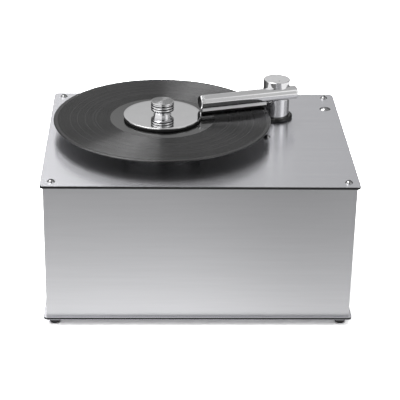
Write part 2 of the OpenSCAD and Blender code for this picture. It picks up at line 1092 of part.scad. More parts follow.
module clamp_knob() {
    low = ring_z - 0.6;
    head_low = knob_z - knob_head_h;
    knob_r = knob_d / 2;
    waist_r = waist_d / 2;
    taper = 3;
    groove = 1.1;
    color(bright)
        at_spindle()
            difference() {
                union() {
                    rotate_extrude()
                        difference() {
                            polygon([
                                [0, clamp_top],
                                [waist_r + 0.8, clamp_top],
                                [waist_r + 0.8, clamp_top + 0.6],
                                [waist_r, clamp_top + 1.6],
                                [waist_r, head_low - taper],
                                [knob_r - 1.2, head_low - 0.6],
                                [knob_r, head_low],
                                [knob_r, knob_z - 0.5],
                                [knob_r - 0.5, knob_z],
                                [0, knob_z + knob_cone]
                            ]);
                            for (i = [0:groove_count - 1])
                                translate([knob_r, knob_z - groove_start - i * groove_pitch])
                                    circle(groove, $fn = 24);
                        }
                    translate([0, 0, low])
                        cylinder(r = spigot_r, h = clamp_top - low + eps);
                }
                translate([0, 0, ring_z])
                    tube(spigot_r + 1, ring_groove_r, ring_t);
                translate([0, 0, low - 1])
                    cylinder(r = knob_bore, h = spindle_top - low + 1 + gap);
            }
}

module clamp_ring() {
    color([0.35, 0.36, 0.38])
        at_spindle()
            difference() {
                translate([0, 0, ring_z])
                    tube(spigot_r + 2.2, ring_groove_r + run_fit, ring_t);
                translate([0, -1.2, ring_z - 1])
                    cube([spigot_r + 4, 2.4, ring_t + 2]);
            }
}

// Suction arm, drawn with local x along the tube towards the spindle

module tube_axis() {
    translate([0, tube_offset, tube_z])
        rotate([0, 90, 0])
            children();
}

module pivot_tube() {
    color(metal)
        at_arm()
            difference() {
                union() {
                    translate([0, 0, tank_top - 6])
                        cylinder(r = pivot_r, h = pivot_top - tank_top + 6);
                    translate([0, 0, pivot_collar_z])
                        cylinder(r = pivot_collar_r, h = head_z - pivot_collar_z);
                }
                translate([0, 0, tank_top - 7])
                    cylinder(r = pivot_bore, h = pivot_top - tank_top + 8);
                translate([0, 0, key_z])
                    rotate([0, 90, 0])
                        cylinder(r = key_r + run_fit, h = pivot_r + 1);
            }
}

module arm_key() {
    color([0.35, 0.36, 0.38])
        at_arm()
            translate([pivot_bore + 0.3, 0, key_z])
                rotate([0, 90, 0])
                    cylinder(r = key_r, h = pivot_r + key_out - pivot_bore - 0.3);
}

module arm_head() {
    bore_h = pivot_top + 1.2 - head_z;
    key_slot_w = 2 * (key_r + gap);
    lock_hole_r = 1;
    lock_hole_y = 9.4;
    edge = 0.6;
    color(bright)
        at_arm()
            difference() {
                rotate_extrude()
                    polygon([
                        [0, head_z],
                        [head_r - edge, head_z],
                        [head_r, head_z + edge],
                        [head_r, head_cap_z - edge],
                        [head_r - edge, head_cap_z],
                        [0, head_cap_z]
                    ]);
                translate([0, 0, head_z - 1])
                    cylinder(r = pivot_r + run_fit, h = bore_h + 1);
                translate([0, 0, head_z + bore_h - eps])
                    cylinder(r = pivot_bore, h = 2);
                translate([0, -key_slot_w / 2, head_z - 1])
                    cube([pivot_r + key_out + gap, key_slot_w, key_z + key_r + gap - head_z + 1]);
                translate([0, duct_y, pivot_top])
                    cylinder(r = duct_r, h = tube_z - pivot_top);
                translate([-head_d, 0, 0])
                    tube_axis()
                        cylinder(r = tube_r + run_fit, h = 2 * head_d);
                translate([0, lock_hole_y, tube_z])
                    cylinder(r = lock_hole_r, h = head_cap_z - tube_z + 1);
            }
}

module arm_tube() {
    x0 = cap_t - tube_tail;
    x1 = tip_x - cap_t;
    color(bright)
        at_arm()
            difference() {
                translate([x0, 0, 0])
                    tube_axis()
                        tube(tube_r, tube_bore, x1 - x0);
                translate([mouth_x0 + slot_margin, tube_offset - slot_w / 2, mouth_z])
                    cube([mouth_x1 - mouth_x0 - 2 * slot_margin, slot_w, tube_z - mouth_z]);
                translate([0, duct_y, pivot_top])
                    cylinder(r = duct_r, h = tube_z - pivot_top);
            }
}

// Cap with a round edge, its outer face on z = 0 and its plug above
module end_cap() {
    rotate_extrude() {
        square([tube_r - cap_round, cap_t]);
        translate([0, cap_round])
            square([tube_r, cap_t - cap_round]);
        intersection() {
            translate([tube_r - cap_round, cap_round])
                circle(cap_round);
            square([tube_r, cap_round + eps]);
        }
        translate([0, cap_t - eps])
            square([tube_bore - run_fit, cap_plug]);
    }
}

module arm_end_caps() {
    color(bright)
        at_arm() {
            translate([-tube_tail, 0, 0])
                tube_axis()
                    end_cap();
            translate([tip_x, 0, 0])
                tube_axis()
                    mirror([0, 0, 1])
                        end_cap();
        }
}

module mouth_bar() {
    bar_l = mouth_x1 - mouth_x0;
    color(bright)
        at_arm()
            difference() {
                translate([mouth_x0, tube_offset - mouth_w / 2, mouth_z])
                    cube([bar_l, mouth_w, tube_z - tube_r + 1.2 - mouth_z]);
                translate([mouth_x0 - 1, 0, 0])
                    tube_axis()
                        cylinder(r = tube_r + run_fit, h = bar_l + 2);
                translate([mouth_x0 + slot_margin, tube_offset - slot_w / 2, mouth_z - 1])
                    cube([bar_l - 2 * slot_margin, slot_w, tube_r]);
            }
}

module mouth_pads() {
    pad_h = mouth_clear - pad_gap;
    pad_w = (mouth_w - slot_w) / 2 - 0.1;
    bar_l = mouth_x1 - mouth_x0;
    color([0.03, 0.03, 0.03])
        at_arm()
            for (s = [-1, 1])
                translate([mouth_x0 + 0.5, tube_offset + s * (slot_w + pad_w) / 2 - pad_w / 2,
                           mouth_z - pad_h])
                    cube([bar_l - 1, pad_w, pad_h]);
}

// Vacuum motor on its rubber mount, fan housing on top, hose to the tank lid

module at_vacuum() {
    translate([vac_x, vac_y, 0])
        children();
}

module vacuum_mount() {
    color(dark)
        at_vacuum()
            translate([0, 0, floor_z])
                tube(vac_d / 2 + 4, vac_d / 2 - 14, mount_t);
}

module vacuum_motor() {
    vent = 5;
    color([0.30, 0.31, 0.33])
        at_vacuum()
            translate([0, 0, floor_z + mount_t])
                difference() {
                    rotate_extrude() {
                        square([vac_d / 2, vac_h - 4]);
                        square([vac_d / 2 - 6, vac_h]);
                    }
                    for (a = [0:30:330])
                        rotate([0, 0, a])
                            translate([vac_d / 2 - 3, -vent / 2, vac_h * 0.3])
                                cube([4, vent, vac_h * 0.4]);
                }
}

module fan_housing() {
    edge = 4;
    wall = 3;
    crown = fan_h - 6;
    seat = fan_h - hose_seat;
    color(metal)
        at_vacuum()
            translate([0, 0, fan_z])
                difference() {
                    rotate_extrude() {
                        square([fan_d / 2 - edge, crown]);
                        translate([0, edge])
                            square([fan_d / 2, crown - 2 * edge]);
                        for (y = [edge, crown - edge])
                            translate([fan_d / 2 - edge, y])
                                circle(edge);
                        translate([0, fan_h / 2 - 2])
                            square([fan_d / 2 + fan_lip, 4]);
                        square([hose_d / 2 + 4, fan_h]);
                    }
                    translate([0, 0, wall])
                        cylinder(r = fan_d / 2 - wall - 1, h = seat - 2 * wall);
                    translate([0, 0, seat - 2 * wall])
                        cylinder(r = hose_d / 2 - hose_wall, h = 3 * wall);
                    translate([0, 0, seat])
                        cylinder(r = hose_d / 2 + run_fit, h = hose_seat + 1);
                }
}

// Hose outline: up from the fan housing, over the partition and down to the lid
module hose_path(r) {
    fan_end = fan_top - hose_seat;
    translate([vac_x, vac_y, fan_end])
        cylinder(r = r, h = lid_top - fan_end);
    translate([hose_x, vac_y, tank_top])
        cylinder(r = r, h = lid_t);
    translate([vac_x + hose_bend, vac_y, hose_z])
        rotate([0, 90, 0])
            cylinder(r = r, h = hose_x - vac_x - 2 * hose_bend);
    translate([vac_x + hose_bend, vac_y, lid_top])
        rotate([90, 0, 0])
            rotate([0, 0, 90])
                rotate_extrude(angle = 90)
                    translate([hose_bend, 0])
                        circle(r);
    translate([hose_x - hose_bend, vac_y, lid_top])
        rotate([90, 0, 0])
            rotate_extrude(angle = 90)
                translate([hose_bend, 0])
                    circle(r);
}

module suction_hose() {
    color([0.20, 0.20, 0.21])
        difference() {
            hose_path(hose_d / 2);
            hose_path(hose_d / 2 - hose_wall);
        }
}

// Rear fittings

module exhaust_grille() {
    neck_w = grille_w - 2 * (grille_rim + run_fit);
    neck_h = grille_h - 2 * (grille_rim + run_fit);
    slot_l = neck_w - 2 * grille_frame;
    slots = floor((neck_h - 2 * grille_frame) / (2 * grille_bar));
    color(dark)
        translate([grille_x, rear_y, grille_z])
            rotate([-90, 0, 0])
                difference() {
                    union() {
                        linear_extrude(grille_t)
                            round_rect(grille_w, grille_h, 3);
                        translate([0, 0, -sheet_t])
                            linear_extrude(sheet_t + eps)
                                square([neck_w, neck_h], center = true);
                    }
                    translate([0, 0, -sheet_t - 1])
                        linear_extrude(sheet_t + 1)
                            square([slot_l, neck_h - 2 * grille_frame], center = true);
                    for (i = [0:slots - 1])
                        translate([-slot_l / 2, (2 * i - slots + 0.5) * grille_bar, -1])
                            cube([slot_l, grille_bar, grille_t + 2]);
                }
}

// Socket cavity of the inlet: two corners cut off below
module socket_outline() {
    polygon([[-12, 4], [-8, 0], [8, 0], [12, 4], [12, 16.5], [-12, 16.5]]);
}

// Seen from behind: local x to the right, local y up, local z out of the cabinet
module at_inlet() {
    translate([inlet_x, rear_y, inlet_z])
        rotate([90, 0, 180])
            children();
}

// The three contacts inside the inlet: centre [x, y] and size of each blade
contacts = [[-7, 5.5], [0, 9.5], [7, 5.5]];
contact_w = 2;
contact_h = 4;

module mains_inlet() {
    color(dark)
        at_inlet()
            difference() {
                union() {
                    linear_extrude(inlet_t)
                        round_rect(inlet_w, inlet_h, 3);
                    translate([0, 0, -inlet_body_l])
                        linear_extrude(inlet_body_l + eps)
                            square([inlet_w - 2 * (inlet_rim + run_fit), inlet_h - 2 * (inlet_rim + run_fit)],
                                   center = true);
                }
                translate([0, 0, -socket_l])
                    linear_extrude(socket_l + inlet_t + 1)
                        socket_outline();
                for (c = contacts)
                    translate([c[0], c[1], -inlet_body_l - 1])
                        linear_extrude(inlet_body_l)
                            square([contact_w + 2 * run_fit, contact_h + 2 * run_fit], center = true);
                translate([-drawer_w / 2, drawer_z - drawer_h / 2, -drawer_l - 2])
                    cube([drawer_w, drawer_h, drawer_l + inlet_t + 3]);
            }
}

module inlet_pins() {
    tail = 7;
    color(brass)
        at_inlet()
            for (c = contacts)
                translate([c[0], c[1], -inlet_body_l - tail])
                    linear_extrude(inlet_body_l + tail - pin_reach)
                        square([contact_w, contact_h], center = true);
}

module fuse_drawer() {
    body_w = drawer_w - 2 * gap;
    body_h = drawer_h - 2 * gap;
    bay_w = fuse_l + 2 * gap;
    bay_l = 2 * (fuse_r + gap);
    color([0.13, 0.13, 0.14])
        at_inlet()
            difference() {
                union() {
                    translate([-body_w / 2, drawer_z - body_h / 2, -drawer_l])
                        cube([body_w, body_h, drawer_l + inlet_t + eps]);
                    translate([-drawer_w / 2 - 1, drawer_z - drawer_h / 2 - 1, inlet_t])
                        cube([drawer_w + 2, drawer_h + 2, drawer_lip_t]);
                }
                translate([-bay_w / 2, drawer_z - fuse_r, 2 - drawer_l])
                    cube([bay_w, body_h, bay_l]);
                translate([-bay_w / 2 + 3, drawer_z - fuse_r, bay_l + 4 - drawer_l])
                    cube([bay_w - 6, body_h, drawer_l - bay_l - 6]);
            }
}

module fuse() {
    cap_l = 5;
    color([0.85, 0.88, 0.88])
        at_inlet()
            translate([-fuse_l / 2, drawer_z, 2 - drawer_l + fuse_r + gap])
                rotate([0, 90, 0]) {
                    cylinder(r = fuse_r - 0.2, h = fuse_l);
                    for (x = [0, fuse_l - cap_l])
                        translate([0, 0, x])
                            cylinder(r = fuse_r, h = cap_l);
                }
}

// Control board and its parts, on the left side wall

module control_board() {
    color([0.10, 0.30, 0.16])
        translate([board_x, board_y - board_w / 2, board_z])
            difference() {
                union() {
                    cube([board_t, board_w, board_h]);
                    for (y = [6, board_w - 6], z = [6, board_h - 6])
                        translate([-(inner_w / 2 + board_x), y, z])
                            rotate([0, 90, 0])
                                cylinder(r = 3, h = inner_w / 2 + board_x + eps);
                }
                for (y = [6, board_w - 6], z = [6, board_h - 6])
                    translate([-10, y, z])
                        rotate([0, 90, 0])
                            cylinder(r = 1.2, h = 20);
            }
}

module board_parts() {
    relay = [16, 20, 16];
    relay_step = 28;
    strip = [10, 60, 9];
    can_r = 9;
    can_l = 24;
    edge = 9;
    color([0.22, 0.24, 0.30])
        translate([board_x + board_t, board_y - board_w / 2, board_z]) {
            for (i = [0, 1])
                translate([0, 2 * edge + i * relay_step, edge + 5])
                    cube(relay);
            translate([0, board_w - 2 * edge, board_h - strip[2] - edge - 22])
                rotate([0, 90, 0])
                    cylinder(r = can_r, h = can_l);
            translate([0, 2 * edge - 2, board_h - strip[2] - edge])
                cube(strip);
        }
}

// Rocker switches on the left side: local x points out of the cabinet

module at_switch(y) {
    translate([-left_x, y, switch_z])
        mirror([1, 0, 0])
            children();
}

module switch_frames() {
    cavity_w = rocker_w + 2 * gap;
    cavity_h = rocker_l + 2 * gap;
    bezel_w = frame_w + 2 * bezel_rim;
    bezel_h = frame_h + 2 * bezel_rim;
    color(dark)
        for (y = switch_y)
            at_switch(y)
                difference() {
                    union() {
                        translate([0, -bezel_w / 2, -bezel_h / 2])
                            cube([bezel_t, bezel_w, bezel_h]);
                        translate([-frame_l, -frame_w / 2, -frame_h / 2])
                            cube([frame_l + eps, frame_w, frame_h]);
                    }
                    translate([-frame_l + 6, -cavity_w / 2, -cavity_h / 2])
                        cube([frame_l, cavity_w, cavity_h]);
                    translate([-pivot_in, -frame_w, 0])
                        rotate([-90, 0, 0])
                            cylinder(r = pin_r + run_fit, h = 2 * frame_w);
                }
}

// Rocker with a dished face, turned about its pins
module rocker(tilt) {
    pin_l = frame_w - 2 * run_fit;
    translate([-pivot_in, 0, 0])
        rotate([0, tilt, 0]) {
            rotate([90, 0, 0])
                translate([0, 0, -rocker_w / 2])
                    linear_extrude(rocker_w)
                        intersection() {
                            circle(rocker_r);
                            polygon([
                                [-rocker_deep, -rocker_l],
                                [rocker_crown, -rocker_r],
                                [rocker_dish, 0],
                                [rocker_crown, rocker_r],
                                [-rocker_deep, rocker_l]
                            ]);
                        }
            translate([0, -pin_l / 2, 0])
                rotate([-90, 0, 0])
                    cylinder(r = pin_r, h = pin_l);
        }
}

module vacuum_rocker() {
    color([0.16, 0.16, 0.17])
        at_switch(switch_y[0])
            rocker(rocker_tilt);
}

module drive_rocker() {
    color([0.16, 0.16, 0.17])
        at_switch(switch_y[1])
            rocker(0);
}

top_plate();
bottom_plate();
plate_skins();
front_panel();
rear_panel();
left_panel();
right_panel();
panel_skins();
corner_posts();
deck_screws();
feet();
foot_studs();
partition_wall();
tank();
tank_lid();
level_strip();
drain_spout();
drain_plug();
arm_base_ring();
arm_base_tube();
arm_bushes();
deck_plug();
bearing_housing();
spindle_bushes();
drive_bracket();
bracket_standoffs();
bracket_screws();
gearbox();
drive_motor();
vacuum_mount();
vacuum_motor();
fan_housing();
suction_hose();
exhaust_grille();
mains_inlet();
inlet_pins();
fuse_drawer();
fuse();
control_board();
board_parts();
switch_frames();
vacuum_rocker();
drive_rocker();
platter();
platter_mat();
spindle();
record();
shaft_coupling();
output_shaft();
clamp_disc();
clamp_seal();
clamp_knob();
clamp_ring();
pivot_tube();
arm_key();
arm_head();
arm_tube();
arm_end_caps();
mouth_bar();
mouth_pads();
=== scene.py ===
"""Record cleaning machine: finishes, turned pieces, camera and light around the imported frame.

Metres, in the frame's own axes: +X right, +Y to the back, +Z up, floor at z = 0.
Sizes come from the frame's boxes. What the frame doesn't hold is a named value below.
"""

import json
import math
from collections import namedtuple

import bmesh
import bpy
from mathutils import Matrix, Vector

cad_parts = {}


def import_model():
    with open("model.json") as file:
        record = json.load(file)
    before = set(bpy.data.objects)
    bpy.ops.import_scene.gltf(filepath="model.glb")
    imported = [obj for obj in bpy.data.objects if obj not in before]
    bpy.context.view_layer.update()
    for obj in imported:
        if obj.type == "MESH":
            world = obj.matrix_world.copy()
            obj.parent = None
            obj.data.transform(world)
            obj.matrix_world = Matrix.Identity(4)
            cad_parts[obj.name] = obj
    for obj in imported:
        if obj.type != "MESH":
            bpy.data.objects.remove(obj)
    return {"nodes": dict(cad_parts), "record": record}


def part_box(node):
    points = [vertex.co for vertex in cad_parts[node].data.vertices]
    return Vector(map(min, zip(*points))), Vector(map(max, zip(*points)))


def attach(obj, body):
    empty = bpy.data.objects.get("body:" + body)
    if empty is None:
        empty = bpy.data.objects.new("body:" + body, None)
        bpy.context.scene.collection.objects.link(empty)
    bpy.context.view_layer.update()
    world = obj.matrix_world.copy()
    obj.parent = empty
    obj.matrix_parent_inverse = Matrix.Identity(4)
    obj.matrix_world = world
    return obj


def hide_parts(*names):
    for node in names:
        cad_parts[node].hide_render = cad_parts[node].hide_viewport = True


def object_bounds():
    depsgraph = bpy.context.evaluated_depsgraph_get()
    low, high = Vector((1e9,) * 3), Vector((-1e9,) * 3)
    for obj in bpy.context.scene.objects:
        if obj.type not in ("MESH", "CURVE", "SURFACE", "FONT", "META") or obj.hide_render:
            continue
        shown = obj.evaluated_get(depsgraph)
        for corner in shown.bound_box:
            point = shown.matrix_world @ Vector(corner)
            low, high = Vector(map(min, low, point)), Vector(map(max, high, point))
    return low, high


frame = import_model()
cad_low, cad_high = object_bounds()

MM = 0.001
UP = Vector((0, 0, 1))

# Camera: where it stands, how it is turned, and its focal length in pixels of a 400 px frame
CAMERA_AT = Vector((-0.06592, -1.80844, 0.97177))
CAMERA_PITCH = 0.44432
CAMERA_YAW = -0.03952
CAMERA_ROLL = 0.02050
FOCAL_PX = 1411.34
IMAGE_PX = 400
SENSOR = 36

# Record, in mm: radii of the bands on its face, their widths, and how far they drop or rise
LABEL_R = 50
LABEL_STEP_W = 2
DEAD_WAX_R = 72.4
LEAD_IN_R = 145.2
TRACK_GAPS = (92.3, 96.4, 107.1, 117.7, 127.7)
GAP_W = 0.6
GAP_RISE = 0.05
GROOVE_DROP = 0.2
RIM_W = 3
RIM_RISE_W = 1.6

# Its finish: how smooth a track gap is, where 1 is the dead wax, and the grooves' pitch in mm and slope
GAP_SHINE = 0.45
GROOVE_PITCH = 0.35
GROOVE_SLOPE = 0.5

# Clamp disc and its rubber seal, in mm
DISC_EDGE_R = 0.5
DISC_EDGE_W = 4
DISC_HUB_R = 14
SEAL_CHAMFER_W = 0.2
SEAL_CHAMFER_H = 0.3
SEAL_WAIST = 0.15
SEAL_LIP_R = 0.45
SEAL_LIP_W = 2
SEAL_STEP_W = 0.3
SEAL_STEP_H = 0.25
SEAL_WEB_T = 1

# Clamp knob, in mm: its sloping face, bulged beads with a groove below each, flared waist, and how far
# in from its edge and down from its top the grooves get painted shade
KNOB_EDGE_DROP = 1
KNOB_FACE_IN = 0.6
KNOB_FACE_LIP = 0.1
KNOB_GROOVES = (4.4, 8.1, 11.7)
KNOB_GROOVE_W = 1.7
KNOB_GROOVE_DEPTH = 2.4
KNOB_GROOVE_SLOPE = 0.1
KNOB_SHADE_IN = 1.1
KNOB_SHADE_DROP = 1
KNOB_BULGE = 0.3
KNOB_BEAD_STEPS = 8
KNOB_FLARE_STEPS = 12
WAIST_R = 12.2
WAIST_TOP = 238.4
SPIGOT_GAP = 0.2

# Suction arm, in mm
TIP_EXTRA = 0.9
TIP_ROUND = 2.0
TAIL_ROUND = 3.0
CAP_CHAMFER = 0.25
CAP_FACE_T = 0.1
RING_R = 24.3
RING_DROP = 2
RING_LAND = 0.2
BAR_LEAN = 1.4
BAR_SOLE = 1.4
BAR_SLOT = 1.8
BAR_SLOT_DEPTH = 5.4
BAR_END = 2

# Z of the normal from which a face counts as level, and the arm's metal as faced
LEVEL = 0.9
FACED = 0.999

# Brushed sheets: factor on the blue of their grey
DECK_BLUE = 1.035
PANEL_BLUE = 1.018

# Studio: a brightness for each direction that a mirror shows. A Limit is an x, y or z of that
# direction, or a turn in radians from the front, positive to the right, with a soft edge to
# either side. A Wall lies between two turns and two heights in z
Limit = namedtuple("Limit", "at edge")
Wall = namedtuple("Wall", "start stop low high brightness")

SIDE_WALL = 0.16
OVERHEAD = 0.6
OVERHEAD_FROM = Limit(0.56, 0.06)

# Wall behind the machine: BACK_MID at BACK_MID_Z, brighter above it and never below BACK_LOW
BACK_LOW = 0.30
BACK_MID = 0.685
BACK_MID_Z = 0.374
BACK_SLOPE = 2.2
BACK_FROM = Limit(0.70, 0.08)
BACK_TOP = Limit(0.53, 0.07)
BACK_SIDES = Limit(0.20, 0.06)

# Softbox over the left half
SOFTBOX = 6.8
SOFTBOX_RIGHT = Limit(-0.02, 0.012)
SOFTBOX_FRONT = Limit(-0.3, 0.1)
SOFTBOX_LOW = Limit(0.74, 0.04)
SOFTBOX_TOP = Limit(0.955, 0.015)
SOFTBOX_BACK = Limit(0.93, 0.04)
SOFTBOX_SLANT = 0.7

# Walls and gaps round the other sides, each over those before it
WALLS = {
    "left": Wall(-1.95, -0.15, -0.1, 0.85, 1.4),
    "gap in front": Wall(-0.15, 0.53, -1, 0.93, 0.03),
    "front": Wall(-0.15, 0.53, 0.2, 0.6, 0.65),
    "right": Wall(1.36, 1.9, 0.12, 0.6, 0.65),
    "narrow at front right": Wall(0.53, 0.78, -0.15, 0.68, 0.72),
    "wide at front right": Wall(0.78, 1.3, -0.1, 0.80, 1.4),
}
WALL_SIDE_EDGE = 0.03
WALL_LOW_EDGE = 0.04
WALL_TOP_EDGE = 0.06

# Sky for matt surfaces, and a backdrop for the camera that makes white of the world's 0.8 grey
SKY = 1.0
SKY_FROM = Limit(0.70, 0.25)
WHITE_BACKDROP = 1.25

# Floor, in metres: its glow in mirrors fades away from the machine, drops by a factor on the right
# and is even at the far right. Grey is what it scatters, and white is what the camera sees
FLOOR_HALF = 4.0
FLOOR_NEAR = 1.02
FLOOR_FAR = 0.24
FLOOR_FADE = 0.46
FLOOR_RIGHT = 0.78
FLOOR_RIGHT_FROM = Limit(0.075, 0.125)
FLOOR_SIDE = 1.0
FLOOR_SIDE_FROM = Limit(0.425, 0.075)
FLOOR_GREY = 0.85
FLOOR_WHITE = 4.0


def centre(node):
    """Middle of a node's box."""
    low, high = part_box(node)
    return (low + high) / 2


def reach(node, origin, direction):
    """Lowest and highest distance of a node's vertices from origin, along direction."""
    steps = [(v.co - origin).dot(direction) for v in frame["nodes"][node].data.vertices]
    return min(steps), max(steps)


def bore(node, axis):
    """Smallest distance of a node's vertices from an upright axis, in mm."""
    vertices = frame["nodes"][node].data.vertices
    return min((v.co - axis).xy.length for v in vertices) / MM


def heights(node):
    """Lowest and highest Z of a node, in mm."""
    return [p.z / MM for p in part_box(node)]


SPINDLE = centre("record")
ARM = centre("arm_base_ring")


def edge_radius(node):
    """Outer radius of a round node on the spindle, in mm."""
    return (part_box(node)[1].x - SPINDLE.x) / MM


# Node helpers

class Nodes:
    """Short calls that build the nodes of one tree."""

    def __init__(self, tree):
        self.tree = tree

    def node(self, kind, **options):
        made = self.tree.nodes.new("ShaderNode" + kind)
        for option, value in options.items():
            setattr(made, option, value)
        return made

    def link(self, source, target):
        self.tree.links.new(source, target)

    def feed(self, node, *values):
        """Sets a node's inputs in order: a socket is linked, a number typed in, None left alone."""
        for place, value in enumerate(values):
            if isinstance(value, bpy.types.NodeSocket):
                self.link(value, node.inputs[place])
            elif value is not None:
                node.inputs[place].default_value = value
        return node

    def math(self, operation, *values):
        return self.feed(self.node("Math", operation=operation), *values).outputs[0]

    def product(self, first, *others):
        for other in others:
            first = self.math("MULTIPLY", first, other)
        return first

    def vector(self, operation, *values):
        """Vector maths: LENGTH gives a number, and the others a vector."""
        made = self.feed(self.node("VectorMath", operation=operation), *values)
        return made.outputs["Value" if operation == "LENGTH" else "Vector"]

    def split(self, vector):
        """The three numbers of a vector."""
        return tuple(self.feed(self.node("SeparateXYZ"), vector).outputs)

    def span(self, source, low, high, from_low=0.25, from_high=0.75, kind="LINEAR"):
        """Maps a value from one range to another."""
        made = self.node("MapRange", interpolation_type=kind)
        return self.feed(made, source, from_low, from_high, low, high).outputs[0]

    def above(self, source, limit):
        """1 above the limit and 0 below it, with a soft edge."""
        return self.span(source, 0, 1, limit.at - limit.edge, limit.at + limit.edge, "SMOOTHSTEP")

    def below(self, source, limit):
        """1 below the limit and 0 above it, with a soft edge."""
        return self.span(source, 0, 1, limit.at + limit.edge, limit.at - limit.edge, "SMOOTHSTEP")

    def blend(self, factor, first, second):
        """The first number where factor is 0 and the second where it is 1."""
        return self.feed(self.node("Mix"), factor, None, first, second).outputs[0]


class Shader(Nodes):
    """A material around one Principled BSDF."""

    def __init__(self, name, color, metallic=0.0, roughness=0.5, **fixed):
        self.mat = bpy.data.materials.new(name)
        self.mat.use_nodes = True
        super().__init__(self.mat.node_tree)
        self.bsdf = self.tree.nodes["Principled BSDF"]
        self.bsdf.inputs["Base Color"].default_value = (*color, 1)
        self.bsdf.inputs["Metallic"].default_value = metallic
        self.bsdf.inputs["Roughness"].default_value = roughness
        for socket, value in fixed.items():
            self.bsdf.inputs[socket.replace("_", " ")].default_value = value
        self.place = self.node("TexCoord").outputs["Object"]

    def scaled(self, factors):
        """The object's own coordinates in millimetres, times a factor for each axis."""
        made = self.node("Mapping")
        self.link(self.place, made.inputs["Vector"])
        made.inputs["Scale"].default_value = [f / MM for f in factors]
        return made.outputs[0]

    def noise(self, factors, detail=3.0):
        """Noise from 0 to 1 with about one bump per 1/factor millimetres on each axis."""
        made = self.node("TexNoise")
        self.link(self.scaled(factors), made.inputs["Vector"])
        made.inputs["Scale"].default_value = 1.0
        made.inputs["Detail"].default_value = detail
        made.inputs["Roughness"].default_value = 0.6
        return made.outputs["Fac"]

    def rings(self, factor, detail=2.0):
        """Noise in rings round the object's own Z axis, one per 1/factor millimetres."""
        made = self.node("TexNoise", noise_dimensions="1D")
        self.link(self.math("MULTIPLY", self.radius(), factor), made.inputs["W"])
        made.inputs["Scale"].default_value = 1.0
        made.inputs["Detail"].default_value = detail
        return made.outputs["Fac"]

    def mix(self, factor, first, second):
        """Mixes two colours."""
        made = self.node("Mix", data_type="RGBA")
        for socket, value in (("Factor_Float", factor), ("A_Color", first), ("B_Color", second)):
            slot = next(s for s in made.inputs if s.identifier == socket)
            if isinstance(value, bpy.types.NodeSocket):
                self.link(value, slot)
            else:
                slot.default_value = (*value, 1)
        return next(s for s in made.outputs if s.identifier == "Result_Color")

    def radius(self):
        """Distance from the object's own Z axis, in millimetres."""
        return self.vector("LENGTH", self.vector("MULTIPLY", self.place, (1 / MM, 1 / MM, 0)))

    def color(self, source):
        self.link(source, self.bsdf.inputs["Base Color"])

    def roughness(self, source):
        self.link(source, self.bsdf.inputs["Roughness"])

    def bump(self, height, depth):
        """Bump of that depth in millimetres."""
        made = self.node("Bump")
        made.inputs["Distance"].default_value = depth * MM
        self.link(height, made.inputs["Height"])
        self.link(made.outputs[0], self.bsdf.inputs["Normal"])

    def lean(self, slope):
        """Tilts the surface outwards from the object's own Z axis by that slope."""
        outwards = self.vector("NORMALIZE", self.vector("MULTIPLY", self.place, (1, 1, 0)))
        turn = self.node("VectorTransform", vector_type="VECTOR", convert_from="OBJECT",
                         convert_to="WORLD")
        push = self.vector("SCALE", self.feed(turn, outwards).outputs[0], None, None, slope)
        total = self.vector("ADD", push, self.node("NewGeometry").outputs["Normal"])
        self.link(self.vector("NORMALIZE", total), self.bsdf.inputs["Normal"])

    def brushed_across(self, direction):
        """Highlights stretch along this direction, so the scratches run across it."""
        made = self.feed(self.node("CombineXYZ"), *direction)
        self.link(made.outputs[0], self.bsdf.inputs["Tangent"])

    def turned(self):
        """Scratches run round the object's Z axis, so highlights stretch outwards."""
        made = self.node("Tangent", direction_type="RADIAL", axis="Z")
        self.link(made.outputs[0], self.bsdf.inputs["Tangent"])
        self.bsdf.inputs["Anisotropic Rotation"].default_value = 0.25


# Colours

def grey(level):
    """Neutral grey."""
    return (level, level, level * 1.01)


def aluminium(level, blue):
    """Grey of a brushed sheet, with its blue raised by that factor."""
    return (level * 0.99, level * 0.992, level * blue)


# Materials

def deck_metal():
    """Sheet brushed along X, on the deck and the bottom plate."""
    m = Shader("brushed_plates", aluminium(0.82, DECK_BLUE), 1.0, 0.34, Anisotropic=0.8)
    fine = m.noise((0.02, 9, 2))
    broad = m.noise((0.004, 0.25, 0.2), 2)
    m.roughness(m.span(fine, 0.25, 0.275))
    m.color(m.mix(m.span(broad, 0, 1), aluminium(0.81, DECK_BLUE), aluminium(0.84, DECK_BLUE)))
    m.bump(fine, 0.0008)
    m.brushed_across((0, 1, 0))
    return m.mat


def panel_metal():
    """Sheet brushed level, on the four walls."""
    m = Shader("brushed_panels", aluminium(0.82, PANEL_BLUE), 1.0, 0.36, Anisotropic=0.75)
    fine = m.noise((0.02, 0.02, 9))
    broad = m.noise((0.01, 0.01, 0.2), 2)
    m.roughness(m.span(fine, 0.34, 0.38))
    m.color(m.mix(m.span(broad, 0, 1), aluminium(0.81, PANEL_BLUE), aluminium(0.84, PANEL_BLUE)))
    m.bump(fine, 0.001)
    m.brushed_across((0, 0, 1))
    return m.mat


def sheet_core():
    """Black plastic core, seen as the sawn edge of each sheet."""
    m = Shader("sheet_core", grey(0.012), 0.0, 0.5)
    sawn = m.noise((2, 2, 0.4))
    m.roughness(m.span(sawn, 0.38, 0.62))
    m.color(m.mix(m.span(sawn, 0, 1), grey(0.008), grey(0.02)))
    m.bump(sawn, 0.03)
    return m.mat


